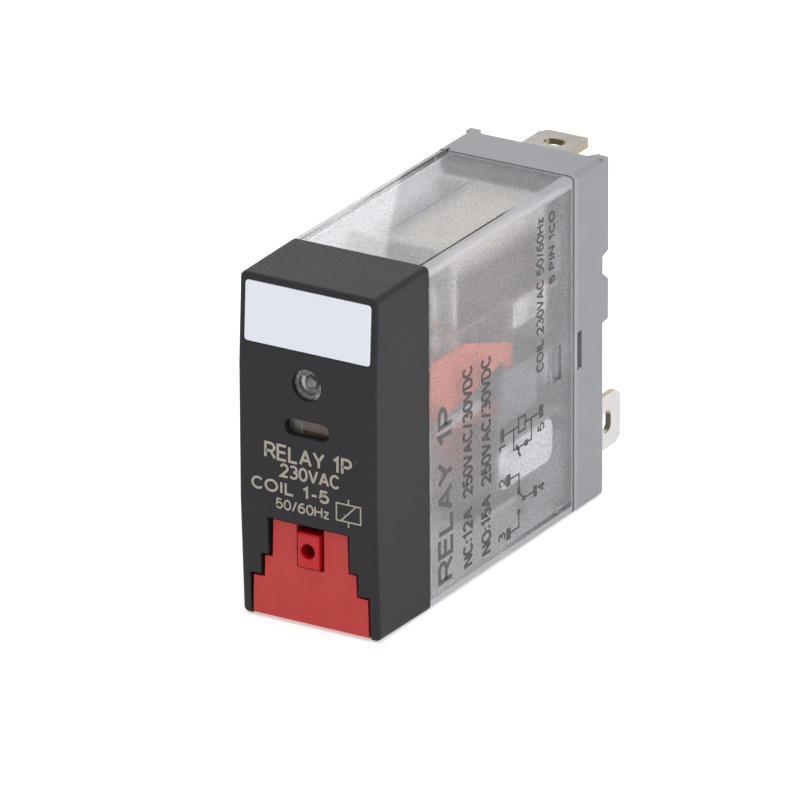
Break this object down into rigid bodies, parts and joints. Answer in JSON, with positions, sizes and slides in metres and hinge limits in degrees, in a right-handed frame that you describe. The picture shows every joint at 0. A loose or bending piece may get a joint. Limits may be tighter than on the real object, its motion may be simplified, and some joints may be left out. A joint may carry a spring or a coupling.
{
  "type": "plug-in relay",
  "caption": "Slim plug-in relay: frosted clear housing, grey blade base, black cap with label plate, lens, flag slot, red lockable test lever and button.",
  "frame": {"origin": "middle of the seating plane, where the rib ends meet the socket", "axes": "+X across the narrow width, +Y out of the base along the blades, +Z towards the label end"},
  "size_m": [0.0126, 0.0405, 0.029],
  "materials": {
    "grey_pbt": "satin",
    "clear_housing": "frosted",
    "black_cap": "fine texture",
    "white_label": "satin",
    "flag_window": "smoked",
    "white_guard": "satin",
    "clear_lens": "polished",
    "red_lever": "matt",
    "red_button": "satin",
    "spring_wire": "bright",
    "tinned_blade": "tin plate",
    "silver_contact": "bright",
    "spring_bronze": "rolled",
    "bobbin_plastic": "satin",
    "enamelled_copper": "varnish",
    "coil_tape": "matt",
    "plated_iron": "zinc plate",
    "bare_copper": "bright",
    "orange_actuator": "satin",
    "board_laminate": "matt",
    "led_body": "clear",
    "resistor_body": "lacquer",
    "diode_body": "moulded"
  },
  "bodies": {
    "relay_body": {"base": "grey_pbt", "clear_housing": "clear_housing", "front_cap": "black_cap", "flag_window": "flag_window", "contact_guard_right": "white_guard", "contact_guard_left": "white_guard", "led_lens": "clear_lens", "button_spring": "spring_wire", "return_spring": "spring_wire", "coil_terminal_1": "tinned_blade", "coil_terminal_5": "tinned_blade", "common_terminal": "tinned_blade", "no_terminal": "tinned_blade", "nc_terminal": "tinned_blade", "no_contact": "silver_contact", "nc_contact": "silver_contact", "spring_clamp": "spring_bronze", "bobbin": "bobbin_plastic", "coil_winding": "enamelled_copper", "coil_tape": "coil_tape", "iron_core": "plated_iron", "yoke": "plated_iron", "shading_ring": "bare_copper", "led_board": "board_laminate", "status_led": "led_body", "resistor": "resistor_body", "diode": "diode_body", "lead_left": "bare_copper", "lead_right": "bare_copper"},
    "label": {"label_plate": "white_label"},
    "lever": {"test_lever": "red_lever"},
    "button": {"test_button": "red_button"},
    "armature_group": {"armature": "plated_iron", "actuator": "orange_actuator"},
    "contact_arm": {"contact_blade": "spring_bronze", "moving_contact": "silver_contact"}
  },
  "joints": [
    {"name": "label_pull", "type": "slide", "parent": "relay_body", "child": "label", "axis": [0, -0.9984, 0.0567], "range_m": [0, 0.006]},
    {"name": "lever_pivot", "type": "hinge", "parent": "relay_body", "child": "lever", "pos_m": [0, -0.0346, -0.01335], "axis": [1, 0, 0], "range_deg": [0, 90]},
    {"name": "button_push", "type": "slide", "parent": "relay_body", "child": "button", "axis": [0, 1, 0], "range_m": [0, 0.0011], "stiffness_N_per_m": 300, "springref_m": -0.0006, "deforming": ["button_spring"]},
    {"name": "armature_pivot", "type": "hinge", "parent": "relay_body", "child": "armature_group", "pos_m": [0, -0.0237, 0.0001], "axis": [-1, 0, 0], "range_deg": [0, 4], "stiffness_Nm_per_rad": 0.02, "springref_deg": -2.86, "deforming": ["return_spring"]},
    {"name": "contact_flex", "type": "hinge", "parent": "relay_body", "child": "contact_arm", "pos_m": [0, -0.0109, -0.0075], "axis": [1, 0, 0], "range_deg": [0, 4.6]}
  ],
  "couplings": [
    {"joint": "contact_flex", "follows": "armature_pivot", "ratio": 1.14}
  ]
}
